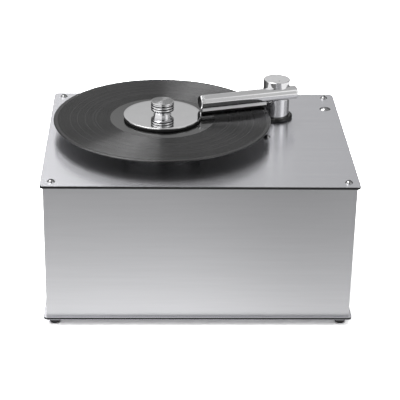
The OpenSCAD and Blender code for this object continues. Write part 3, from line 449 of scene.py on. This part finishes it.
def vinyl():
    """Pressed record: grooved bands that glint across, smooth gaps, dead wax and rim."""
    m = Shader("vinyl", grey(0.09), 1.0, 0.5, Anisotropic=1.0, Coat_Weight=0.3,
               Coat_Roughness=0.03, Coat_IOR=1.55)
    r = m.radius()
    land = m.math("COMPARE", r, (DEAD_WAX_R + LABEL_R) / 2, (DEAD_WAX_R - LABEL_R) / 2)
    smooth = m.math("GREATER_THAN", r, LEAD_IN_R)
    for gap in TRACK_GAPS:
        smooth = m.math("MAXIMUM", smooth, m.math("COMPARE", r, gap, GAP_W / 2))
    land = m.math("MAXIMUM", land, m.math("MULTIPLY", smooth, GAP_SHINE))
    music = m.rings(1.7, 5.0)
    m.roughness(m.span(land, m.span(music, 0.26, 0.34), 0.16, 0, 1))
    m.link(m.span(land, 0.26, 0.9, 0, 1), m.bsdf.inputs["Coat Weight"])
    band = m.mix(m.span(music, 0, 1), grey(0.055), grey(0.075))
    m.color(m.mix(land, band, grey(0.055)))
    m.turned()
    wave = m.math("SINE", m.math("MULTIPLY", r, 2 * math.pi / GROOVE_PITCH))
    grooved = m.math("MULTIPLY", m.math("SUBTRACT", 1, land), GROOVE_SLOPE)
    m.lean(m.math("MULTIPLY", wave, grooved))
    return m.mat


def label_paper():
    """Blank paper label."""
    m = Shader("label_paper", grey(0.55), 0.0, 0.7)
    pulp = m.noise((3, 3, 3))
    m.color(m.mix(m.span(pulp, 0, 1), (0.50, 0.49, 0.46), (0.60, 0.59, 0.56)))
    m.bump(pulp, 0.02)
    return m.mat


def mirror_metal():
    """Clamp disc and knob flanks: turned and polished to a mirror."""
    m = Shader("mirror_metal", grey(0.80), 1.0, 0.07)
    haze = m.noise((0.05, 0.05, 0.05), 2)
    m.roughness(m.span(haze, 0.05, 0.09))
    m.color(m.mix(m.span(haze, 0, 1), grey(0.78), grey(0.82)))
    return m.mat


def turned_metal_shaded():
    """Faced end of the knob, with fine rings round the middle, painted darker than the polished flanks
    as shade.
    """
    m = Shader("turned_metal_shaded", grey(0.50), 1.0, 0.30, Anisotropic=0.8)
    rings = m.rings(6.0)
    m.roughness(m.span(rings, 0.24, 0.32))
    m.color(m.mix(m.span(rings, 0, 1), grey(0.34), grey(0.54)))
    m.bump(rings, 0.004)
    m.turned()
    return m.mat


def arm_metal():
    """Post and tube: bright metal with a faint drawn grain, faced to satin where it lies level."""
    m = Shader("arm_metal", grey(0.82), 1.0, 0.1)
    grain = m.noise((0.6, 0.6, 0.02))
    bright = m.span(grain, 0.07, 0.13)
    up = m.split(m.node("NewGeometry").outputs["Normal"])[2]
    faced = m.math("GREATER_THAN", up, FACED)
    m.roughness(m.span(faced, bright, 0.42, 0, 1))
    m.color(m.mix(m.span(grain, 0, 1), grey(0.80), grey(0.85)))
    return m.mat


def satin_metal():
    """Blasted metal of the mouth bar."""
    m = Shader("satin_metal", grey(0.80), 1.0, 0.45)
    grain = m.noise((4, 4, 4))
    m.roughness(m.span(grain, 0.40, 0.52))
    m.color(m.mix(m.span(grain, 0, 1), grey(0.76), grey(0.84)))
    m.bump(grain, 0.006)
    return m.mat


def machined(name, color, low, high):
    """Plain machined or drawn metal, with its lowest and highest roughness."""
    m = Shader(name, color, 1.0, (low + high) / 2)
    grain = m.noise((1.5, 1.5, 0.3))
    m.roughness(m.span(grain, low, high))
    dull = tuple(0.88 * c for c in color)
    m.color(m.mix(m.span(grain, 0, 1), dull, color))
    m.bump(grain, 0.006)
    return m.mat


def moulded(name, color, low, high, depth=0.02, **fixed):
    """Moulded plastic, rubber or paint, with a fine grain of that depth in millimetres."""
    m = Shader(name, color, 0.0, (low + high) / 2, **fixed)
    grain = m.noise((2.5, 2.5, 2.5))
    m.roughness(m.span(grain, low, high))
    worn = tuple(min(1, 1.25 * c + 0.004) for c in color)
    m.color(m.mix(m.span(grain, 0, 1), color, worn))
    m.bump(grain, depth)
    return m.mat


def clear(name, color, transmission, roughness):
    """Clear or milky plastic and glass."""
    m = Shader(name, color, 0.0, roughness, Transmission_Weight=transmission, IOR=1.49)
    haze = m.noise((0.3, 0.3, 0.3))
    m.roughness(m.span(haze, roughness * 0.7, roughness * 1.4))
    m.color(m.mix(m.span(haze, 0, 1), color, tuple(0.96 * c for c in color)))
    return m.mat


def velvet():
    """Short black pile on the mouth."""
    m = Shader("velvet", grey(0.010), 0.0, 0.9, Sheen_Weight=0.5, Sheen_Roughness=0.4)
    pile = m.noise((9, 9, 3))
    m.color(m.mix(m.span(pile, 0, 1), grey(0.006), grey(0.02)))
    m.bump(pile, 0.15)
    return m.mat


# Finish of each material slot, of the nodes that differ from their slot, and of single pieces and faces
FINISHES = {
    "sheet_core": sheet_core(),
    "frame_metal": machined("frame_metal", grey(0.70), 0.30, 0.45),
    "fastener": machined("fastener", grey(0.42), 0.15, 0.22),
    "sheet_steel": machined("sheet_steel", (0.58, 0.59, 0.61), 0.32, 0.48),
    "black_rubber": moulded("black_rubber", grey(0.018), 0.50, 0.68),
    "tank_plastic": clear("tank_plastic", (0.84, 0.86, 0.85), 0.25, 0.35),
    "clear_plastic": clear("clear_plastic", (0.86, 0.92, 0.94), 0.9, 0.08),
    "black_gloss": moulded("black_gloss", grey(0.006), 0.06, 0.10, 0.001),
    "black_plastic": moulded("black_plastic", grey(0.022), 0.36, 0.50),
    "brass": machined("brass", (0.72, 0.52, 0.24), 0.22, 0.34),
    "fuse_glass": clear("fuse_glass", (0.88, 0.90, 0.90), 0.8, 0.06),
    "motor_paint": moulded("motor_paint", grey(0.06), 0.30, 0.42, 0.01),
    "board_green": moulded("board_green", (0.02, 0.13, 0.05), 0.25, 0.38, 0.004),
    "board_part": moulded("board_part", (0.04, 0.05, 0.08), 0.30, 0.44, 0.004),
    "platter_metal": machined("platter_metal", grey(0.74), 0.24, 0.36),
    "mat_rubber": moulded("mat_rubber", grey(0.030), 0.60, 0.75, 0.05),
    "spindle_steel": machined("spindle_steel", grey(0.72), 0.12, 0.20),
    "vinyl": vinyl(),
    "mirror_metal": mirror_metal(),
    "arm_metal": arm_metal(),
    "pivot_metal": machined("pivot_metal", grey(0.70), 0.18, 0.28),
    "velvet": velvet(),
}
NODE_FINISHES = {"plate_skins": deck_metal(), "panel_skins": panel_metal(),
                 "deck_plug": machined("plug_metal", grey(0.40), 0.18, 0.28)}
# Painted reflection: the caps' end faces painted dark, as if mirroring the record
END_FACE_PAINTED_DARK = machined("end_face_painted_reflection", grey(0.10), 0.16, 0.24)
LABEL = label_paper()
TURNED_SHADED = turned_metal_shaded()
SATIN = satin_metal()
# Painted shade for the knob's grooves: near-black with little shine
GROOVE_SHADE = moulded("groove_painted_shade", grey(0.004), 0.5, 0.6, Specular_IOR_Level=0.1)


def dress_frame():
    """Gives every CAD node the finish of its material slot."""
    for part in frame["record"]["subparts"]:
        node, slot = part["node"], part["material_slot"]
        finish = NODE_FINISHES.get(node) or FINISHES[slot]
        for place in frame["nodes"][node].material_slots:
            place.material = finish


# Mesh helpers

def arc(x, y, r, start, stop, steps=8):
    """Points on an arc, angles in degrees."""
    turns = [math.radians(start + (stop - start) * i / steps) for i in range(steps + 1)]
    return [(x + r * math.cos(t), y + r * math.sin(t)) for t in turns]


def lathe(name, outline, steps=256):
    """Turns a closed outline of (radius, height) points, in mm, about the Z axis."""
    bm = bmesh.new()
    turns = [2 * math.pi * i / steps for i in range(steps)]
    rings = []
    for r, z in outline:
        if r == 0:
            rings.append([bm.verts.new((0, 0, z * MM))])
        else:
            rings.append([bm.verts.new((r * MM * math.cos(t), r * MM * math.sin(t), z * MM))
                          for t in turns])
    for first, second in zip(rings, rings[1:] + rings[:1]):
        if len(first) == 1 and len(second) == 1:
            continue
        for i in range(steps):
            corners = [first[i % len(first)], first[(i + 1) % len(first)],
                       second[(i + 1) % len(second)], second[i % len(second)]]
            bm.faces.new(list(dict.fromkeys(corners)))
    bmesh.ops.recalc_face_normals(bm, faces=bm.faces)
    return finish_mesh(name, bm)


def extrude(bm, outline, first, last):
    """A prism with that (x, y) outline between two heights."""
    ends = [[bm.verts.new((x, y, z)) for x, y in outline] for z in (first, last)]
    bm.faces.new(ends[0])
    bm.faces.new(list(reversed(ends[1])))
    count = len(outline)
    for i in range(count):
        j = (i + 1) % count
        bm.faces.new((ends[0][i], ends[1][i], ends[1][j], ends[0][j]))
    bmesh.ops.recalc_face_normals(bm, faces=bm.faces)


def finish_mesh(name, bm, sharp=math.radians(32)):
    """Makes an object of a bmesh, smooth but for its sharp edges."""
    for face in bm.faces:
        face.smooth = True
    for edge in bm.edges:
        edge.smooth = len(edge.link_faces) == 2 and edge.calc_face_angle() < sharp
    mesh = bpy.data.meshes.new(name)
    bm.to_mesh(mesh)
    bm.free()
    made = bpy.data.objects.new(name, mesh)
    bpy.context.scene.collection.objects.link(made)
    return made


def stand_on(piece, axis):
    """Moves a turned piece onto an upright axis. Its heights are those of the frame already."""
    piece.location = (axis.x, axis.y, 0)


def settle(piece, body, slot, finish, *nodes):
    """Puts a finished piece on its body, in place of its CAD nodes; its slot is not used."""
    piece.data.materials.append(finish)
    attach(piece, body)
    if nodes:
        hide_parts(*nodes)


def paint_faces(piece, finish, chosen):
    """Gives the faces that chosen(centre, normal) picks a finish of their own."""
    piece.data.materials.append(finish)
    for face in piece.data.polygons:
        if chosen(face.center, face.normal):
            face.material_index = len(piece.data.materials) - 1


# Turned pieces round the spindle

def record():
    """Record with its label area, track gaps and rim standing out of the grooved face."""
    low, high = heights("record")
    edge = edge_radius("record")
    hole = bore("record", SPINDLE)
    round_r = (high - low) / 2
    rim = edge - RIM_W
    face = [(LABEL_R, 0), (LABEL_R + LABEL_STEP_W, GROOVE_DROP)]
    for gap in TRACK_GAPS:
        face += [(gap - GAP_W, GROOVE_DROP), (gap - GAP_W / 3, GROOVE_DROP + GAP_RISE),
                 (gap + GAP_W / 3, GROOVE_DROP + GAP_RISE), (gap + GAP_W, GROOVE_DROP)]
    face += [(rim, GROOVE_DROP), (rim + RIM_RISE_W / 2, GROOVE_DROP / 2), (rim + RIM_RISE_W, 0)]
    upper = [(hole, high)] + [(r, high - drop) for r, drop in face]
    rounded = arc(edge - round_r, low + round_r, round_r, 90, -90, steps=16)
    lower = [(r, low + drop) for r, drop in reversed(face)] + [(hole, low)]
    piece = lathe("record_disc", upper + rounded + lower, steps=360)
    stand_on(piece, SPINDLE)
    settle(piece, "platter", "vinyl", FINISHES["vinyl"], "record")
    paint_faces(piece, LABEL, lambda c, n: c.xy.length < LABEL_R * MM and abs(n.z) > LEVEL)


def clamp_disc():
    """Polished disc with rounded edges and a hub that hangs below it."""
    low, high = heights("clamp_disc")
    edge = edge_radius("clamp_disc")
    hole = bore("clamp_disc", SPINDLE)
    underside = heights("clamp_seal")[1]
    corner = edge - DISC_EDGE_R
    # The second point keeps the mirror's shading flat as far as there
    outline = [(hole, high), (edge - DISC_EDGE_W, high)]
    outline += arc(corner, high - DISC_EDGE_R, DISC_EDGE_R, 90, 0, steps=6)
    outline += arc(corner, underside + DISC_EDGE_R, DISC_EDGE_R, 0, -90, steps=6)
    outline += [(DISC_HUB_R, underside), (DISC_HUB_R, low), (hole, low)]
    piece = lathe("clamp_plate", outline)
    stand_on(piece, SPINDLE)
    settle(piece, "clamp", "mirror_metal", FINISHES["mirror_metal"], "clamp_disc")


def clamp_seal():
    """Rubber ring with a round lip that meets the record and a web behind it."""
    low, high = heights("clamp_seal")
    edge = edge_radius("clamp_seal")
    inner = bore("clamp_seal", SPINDLE)
    outline = [(inner, high), (edge - SEAL_CHAMFER_W, high), (edge, high - SEAL_CHAMFER_H),
               (edge - SEAL_WAIST, (low + high) / 2)]
    outline += arc(edge - SEAL_LIP_R, low + SEAL_LIP_R, SEAL_LIP_R, 0, -90, steps=5)
    outline += [(edge - SEAL_LIP_W, low), (edge - SEAL_LIP_W - SEAL_STEP_W, low + SEAL_STEP_H),
                (inner, high - SEAL_WEB_T)]
    piece = lathe("clamp_gasket", outline)
    stand_on(piece, SPINDLE)
    settle(piece, "clamp", "black_rubber", FINISHES["black_rubber"], "clamp_seal")


def clamp_knob():
    """Turned knob: sloping face, bulged beads with a groove below each, flared waist, spigot. The
    grooves get painted shade.
    """
    low, high = heights("clamp_knob")
    knob_r = edge_radius("clamp_knob")
    foot = heights("clamp_disc")[1]
    spigot = bore("clamp_disc", SPINDLE) - SPIGOT_GAP
    hole = bore("clamp_knob", SPINDLE)
    top = high - KNOB_EDGE_DROP
    face_low = top + KNOB_FACE_LIP
    half = KNOB_GROOVE_W / 2
    floor_r = knob_r - KNOB_GROOVE_DEPTH
    outline = [(0, high), (knob_r - KNOB_BULGE - KNOB_FACE_IN, face_low)]
    bead_top = top
    for drop in KNOB_GROOVES:
        bead_low = top - drop + half
        for step in range(KNOB_BEAD_STEPS + 1):
            along = step / KNOB_BEAD_STEPS
            bulge = KNOB_BULGE * (2 * along - 1) ** 2
            outline.append((knob_r - bulge, bead_top + (bead_low - bead_top) * along))
        bead_top = top - drop - half
        outline += [(floor_r, bead_low - KNOB_GROOVE_SLOPE), (floor_r, bead_top + KNOB_GROOVE_SLOPE)]
    flare = knob_r - KNOB_BULGE - WAIST_R
    for step in range(KNOB_FLARE_STEPS + 1):
        along = 1 - step / KNOB_FLARE_STEPS
        outline.append((WAIST_R + flare * along ** 2, WAIST_TOP + (bead_top - WAIST_TOP) * along))
    outline += [(WAIST_R, foot), (spigot, foot), (spigot, low), (hole, low), (hole, foot), (0, foot)]
    piece = lathe("clamp_knob_turned", outline, steps=192)
    stand_on(piece, SPINDLE)
    settle(piece, "knob", "mirror_metal", FINISHES["mirror_metal"], "clamp_knob")
    # The knob's level top gets turned metal, painted darker than its flanks as shade
    paint_faces(piece, TURNED_SHADED, lambda c, n: n.z > LEVEL and c.z > face_low * MM)
    # The faces in the grooves get painted shade
    shade_r = (knob_r - KNOB_SHADE_IN) * MM
    shade_top = (top - KNOB_SHADE_DROP) * MM
    paint_faces(piece, GROOVE_SHADE, lambda c, n: c.xy.length < shade_r and bead_top * MM < c.z < shade_top)


# Suction arm

def along_arm():
    """Middle of the tube and its direction towards the tip."""
    middle = centre("arm_end_caps")
    ahead = centre("mouth_bar") - middle
    ahead.z = 0
    return middle, ahead.normalized()


def arm_frame(origin, ahead):
    """Axes at origin with Z along the tube and Y up."""
    across = UP.cross(ahead)
    turn = Matrix((across, UP, ahead)).transposed().to_4x4()
    return Matrix.Translation(origin) @ turn


def end_cap(name, way, extra, soft, *nodes):
    """Round-edged cap on the tip of the tube (way 1) or its tail (way -1), its end face painted dark as
    a reflection of the record.
    """
    middle, ahead = along_arm()
    body = reach("arm_tube", middle, ahead)[1]
    tube_r = (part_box("arm_end_caps")[1].z - middle.z) / MM
    end = (reach("arm_end_caps", middle, ahead)[1] - body) / MM + extra
    # The arc begins on the second point again, which keeps the end face's shading flat
    outline = [(0, end), (tube_r - soft, end)]
    outline += arc(tube_r - soft, end - soft, soft, 90, 0, steps=10)
    outline += [(tube_r, CAP_CHAMFER), (tube_r - CAP_CHAMFER, 0), (0, 0)]
    piece = lathe(name, outline, steps=128)
    piece.matrix_world = arm_frame(middle + ahead * way * body, ahead * way)
    settle(piece, "arm", "arm_metal", FINISHES["arm_metal"], *nodes)
    face = (end - CAP_FACE_T) * MM
    # The end face gets the painted dark reflection
    paint_faces(piece, END_FACE_PAINTED_DARK, lambda c, n: c.z > face)


def mouth_bar():
    """Bar under the tube: its flanks lean in towards the top and a slot runs up its middle."""
    ahead = along_arm()[1]
    bar = centre("mouth_bar")
    low, high = (p.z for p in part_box("mouth_bar"))
    start, stop = reach("mouth_bar", bar, ahead)
    side = reach("mouth_bar", bar, UP.cross(ahead))[1]
    lean, slot, end = BAR_LEAN * MM, BAR_SLOT / 2 * MM, BAR_END * MM
    roof = low + BAR_SLOT_DEPTH * MM
    sole = low + BAR_SOLE * MM
    outer = [(side - lean / 2, low), (side, sole), (side - lean, high), (lean - side, high),
             (-side, sole), (lean / 2 - side, low)]
    slotted = outer + [(-slot, low), (-slot, roof), (slot, roof), (slot, low)]
    bm = bmesh.new()
    extrude(bm, outer, start, start + end)
    extrude(bm, slotted, start + end, stop - end)
    extrude(bm, outer, stop - end, stop)
    piece = finish_mesh("mouth_bar_leaning", bm)
    piece.matrix_world = arm_frame(Vector((bar.x, bar.y, 0)), ahead)
    settle(piece, "arm", "arm_metal", SATIN, "mouth_bar")
    paint_faces(piece, FINISHES["velvet"], lambda c, n: c.y < sole)


def base_ring():
    """Glossy ring that the post turns in, rounder and lower than its CAD node."""
    low, high = heights("arm_base_ring")
    inner = bore("arm_base_ring", ARM)
    top = high - RING_DROP
    soft = (top - low) / 2 - RING_LAND
    outline = [(inner, top)] + arc(RING_R - soft, top - soft, soft, 90, 0)
    outline += arc(RING_R - soft, low + soft, soft, 0, -90) + [(inner, low)]
    piece = lathe("arm_ring_round", outline)
    stand_on(piece, ARM)
    settle(piece, "cabinet", "black_gloss", FINISHES["black_gloss"], "arm_base_ring")


# Floor, light and camera

def back_wall(n, x, y, z):
    """Where the back wall is, and its brightness, which grows with height."""
    ramp = n.math("MULTIPLY_ADD", z, BACK_SLOPE, BACK_MID - BACK_MID_Z * BACK_SLOPE)
    inside = n.product(n.above(y, BACK_FROM), n.below(z, BACK_TOP),
                       n.below(n.math("ABSOLUTE", x), BACK_SIDES))
    return inside, n.math("MAXIMUM", ramp, BACK_LOW)


def softbox(n, x, y, z):
    """Where the softbox is: left of the middle, with a slanted rear edge."""
    slanted = n.math("SUBTRACT", y, n.math("MULTIPLY", x, SOFTBOX_SLANT))
    return n.product(n.below(x, SOFTBOX_RIGHT), n.above(z, SOFTBOX_LOW),
                     n.above(y, SOFTBOX_FRONT), n.below(z, SOFTBOX_TOP),
                     n.below(slanted, SOFTBOX_BACK))


def inside_wall(n, turn, z, wall):
    """Where one of the other walls is."""
    return n.product(n.above(turn, Limit(wall.start, WALL_SIDE_EDGE)),
                     n.below(turn, Limit(wall.stop, WALL_SIDE_EDGE)),
                     n.above(z, Limit(wall.low, WALL_LOW_EDGE)),
                     n.below(z, Limit(wall.high, WALL_TOP_EDGE)))


def studio():
    """World: walls and a softbox in mirrors, an even sky for matt surfaces, white for the camera."""
    world = bpy.data.worlds.new("studio")
    bpy.context.scene.world = world
    world.use_nodes = True
    n = Nodes(world.node_tree)
    n.tree.nodes.clear()
    x, y, z = n.split(n.node("TexCoord").outputs["Generated"])
    level = n.blend(n.above(z, OVERHEAD_FROM), SIDE_WALL, OVERHEAD)
    inside, brightness = back_wall(n, x, y, z)
    level = n.blend(inside, level, brightness)
    level = n.blend(softbox(n, x, y, z), level, SOFTBOX)
    turn = n.math("ARCTAN2", x, n.math("MULTIPLY", y, -1))
    for wall in WALLS.values():
        level = n.blend(inside_wall(n, turn, z, wall), level, wall.brightness)
    path = n.node("LightPath")
    matt = n.math("GREATER_THAN", path.outputs["Diffuse Depth"], 0.5)
    level = n.blend(matt, level, n.product(n.above(z, SKY_FROM), SKY))
    level = n.blend(path.outputs["Is Camera Ray"], level, WHITE_BACKDROP)
    lamp = n.node("Background")
    n.link(level, lamp.inputs["Strength"])
    n.feed(n.node("OutputWorld"), lamp.outputs[0])


def floor_finish():
    """White for the camera, with the shadow kept, and a glow for mirrors, bright near the machine."""
    mat = bpy.data.materials.new("floor")
    mat.use_nodes = True
    n = Nodes(mat.node_tree)
    n.tree.nodes.clear()
    place = n.node("TexCoord").outputs["Object"]
    right = n.split(place)[0]
    past = n.vector("SUBTRACT", n.vector("ABSOLUTE", place), (cad_high.x, cad_high.y, 0))
    distance = n.vector("LENGTH", n.vector("MAXIMUM", past, (0, 0, 0)))
    fade = n.span(distance, 0, 1, 0, FLOOR_FADE, "SMOOTHSTEP")
    level = n.product(n.blend(fade, FLOOR_NEAR, FLOOR_FAR),
                      n.blend(n.above(right, FLOOR_RIGHT_FROM), 1.0, FLOOR_RIGHT))
    glow = n.node("Emission")
    n.link(n.blend(n.above(right, FLOOR_SIDE_FROM), level, FLOOR_SIDE), glow.inputs["Strength"])
    path = n.node("LightPath")
    white = n.feed(n.node("BsdfDiffuse"),
                   n.blend(path.outputs["Is Camera Ray"], FLOOR_GREY, FLOOR_WHITE))
    unscattered = n.math("LESS_THAN", path.outputs["Diffuse Depth"], 0.5)
    mirrored = n.product(path.outputs["Is Glossy Ray"], unscattered)
    mixed = n.feed(n.node("MixShader"), mirrored, white.outputs[0], glow.outputs[0])
    n.feed(n.node("OutputMaterial"), mixed.outputs[0])
    return mat


def floor():
    """Plain floor under the machine."""
    bm = bmesh.new()
    corners = [(-1, -1), (1, -1), (1, 1), (-1, 1)]
    bm.faces.new([bm.verts.new((x * FLOOR_HALF, y * FLOOR_HALF, 0)) for x, y in corners])
    piece = finish_mesh("floor", bm)
    piece.data.materials.append(floor_finish())


def camera():
    """Camera as solved from the photograph, turned by its yaw, pitch and roll."""
    across = Vector((math.cos(CAMERA_YAW), math.sin(CAMERA_YAW), 0))
    ahead = Vector((-math.sin(CAMERA_YAW), math.cos(CAMERA_YAW), 0))
    forward = ahead * math.cos(CAMERA_PITCH) - UP * math.sin(CAMERA_PITCH)
    upward = ahead * math.sin(CAMERA_PITCH) + UP * math.cos(CAMERA_PITCH)
    right = across * math.cos(CAMERA_ROLL) + upward * math.sin(CAMERA_ROLL)
    top = upward * math.cos(CAMERA_ROLL) - across * math.sin(CAMERA_ROLL)
    lens = bpy.data.cameras.new("camera")
    lens.sensor_width = SENSOR
    lens.lens = FOCAL_PX / IMAGE_PX * SENSOR
    made = bpy.data.objects.new("camera", lens)
    turn = Matrix((right, top, -forward)).transposed().to_4x4()
    made.matrix_world = Matrix.Translation(CAMERA_AT) @ turn
    bpy.context.scene.collection.objects.link(made)
    bpy.context.scene.camera = made


dress_frame()
record()
clamp_disc()
clamp_seal()
clamp_knob()
end_cap("arm_tip_cap", 1, TIP_EXTRA, TIP_ROUND, "arm_end_caps")
end_cap("arm_tail_cap", -1, 0, TAIL_ROUND)
mouth_bar()
base_ring()
studio()
floor()
camera()
bpy.context.scene.view_settings.view_transform = "Standard"
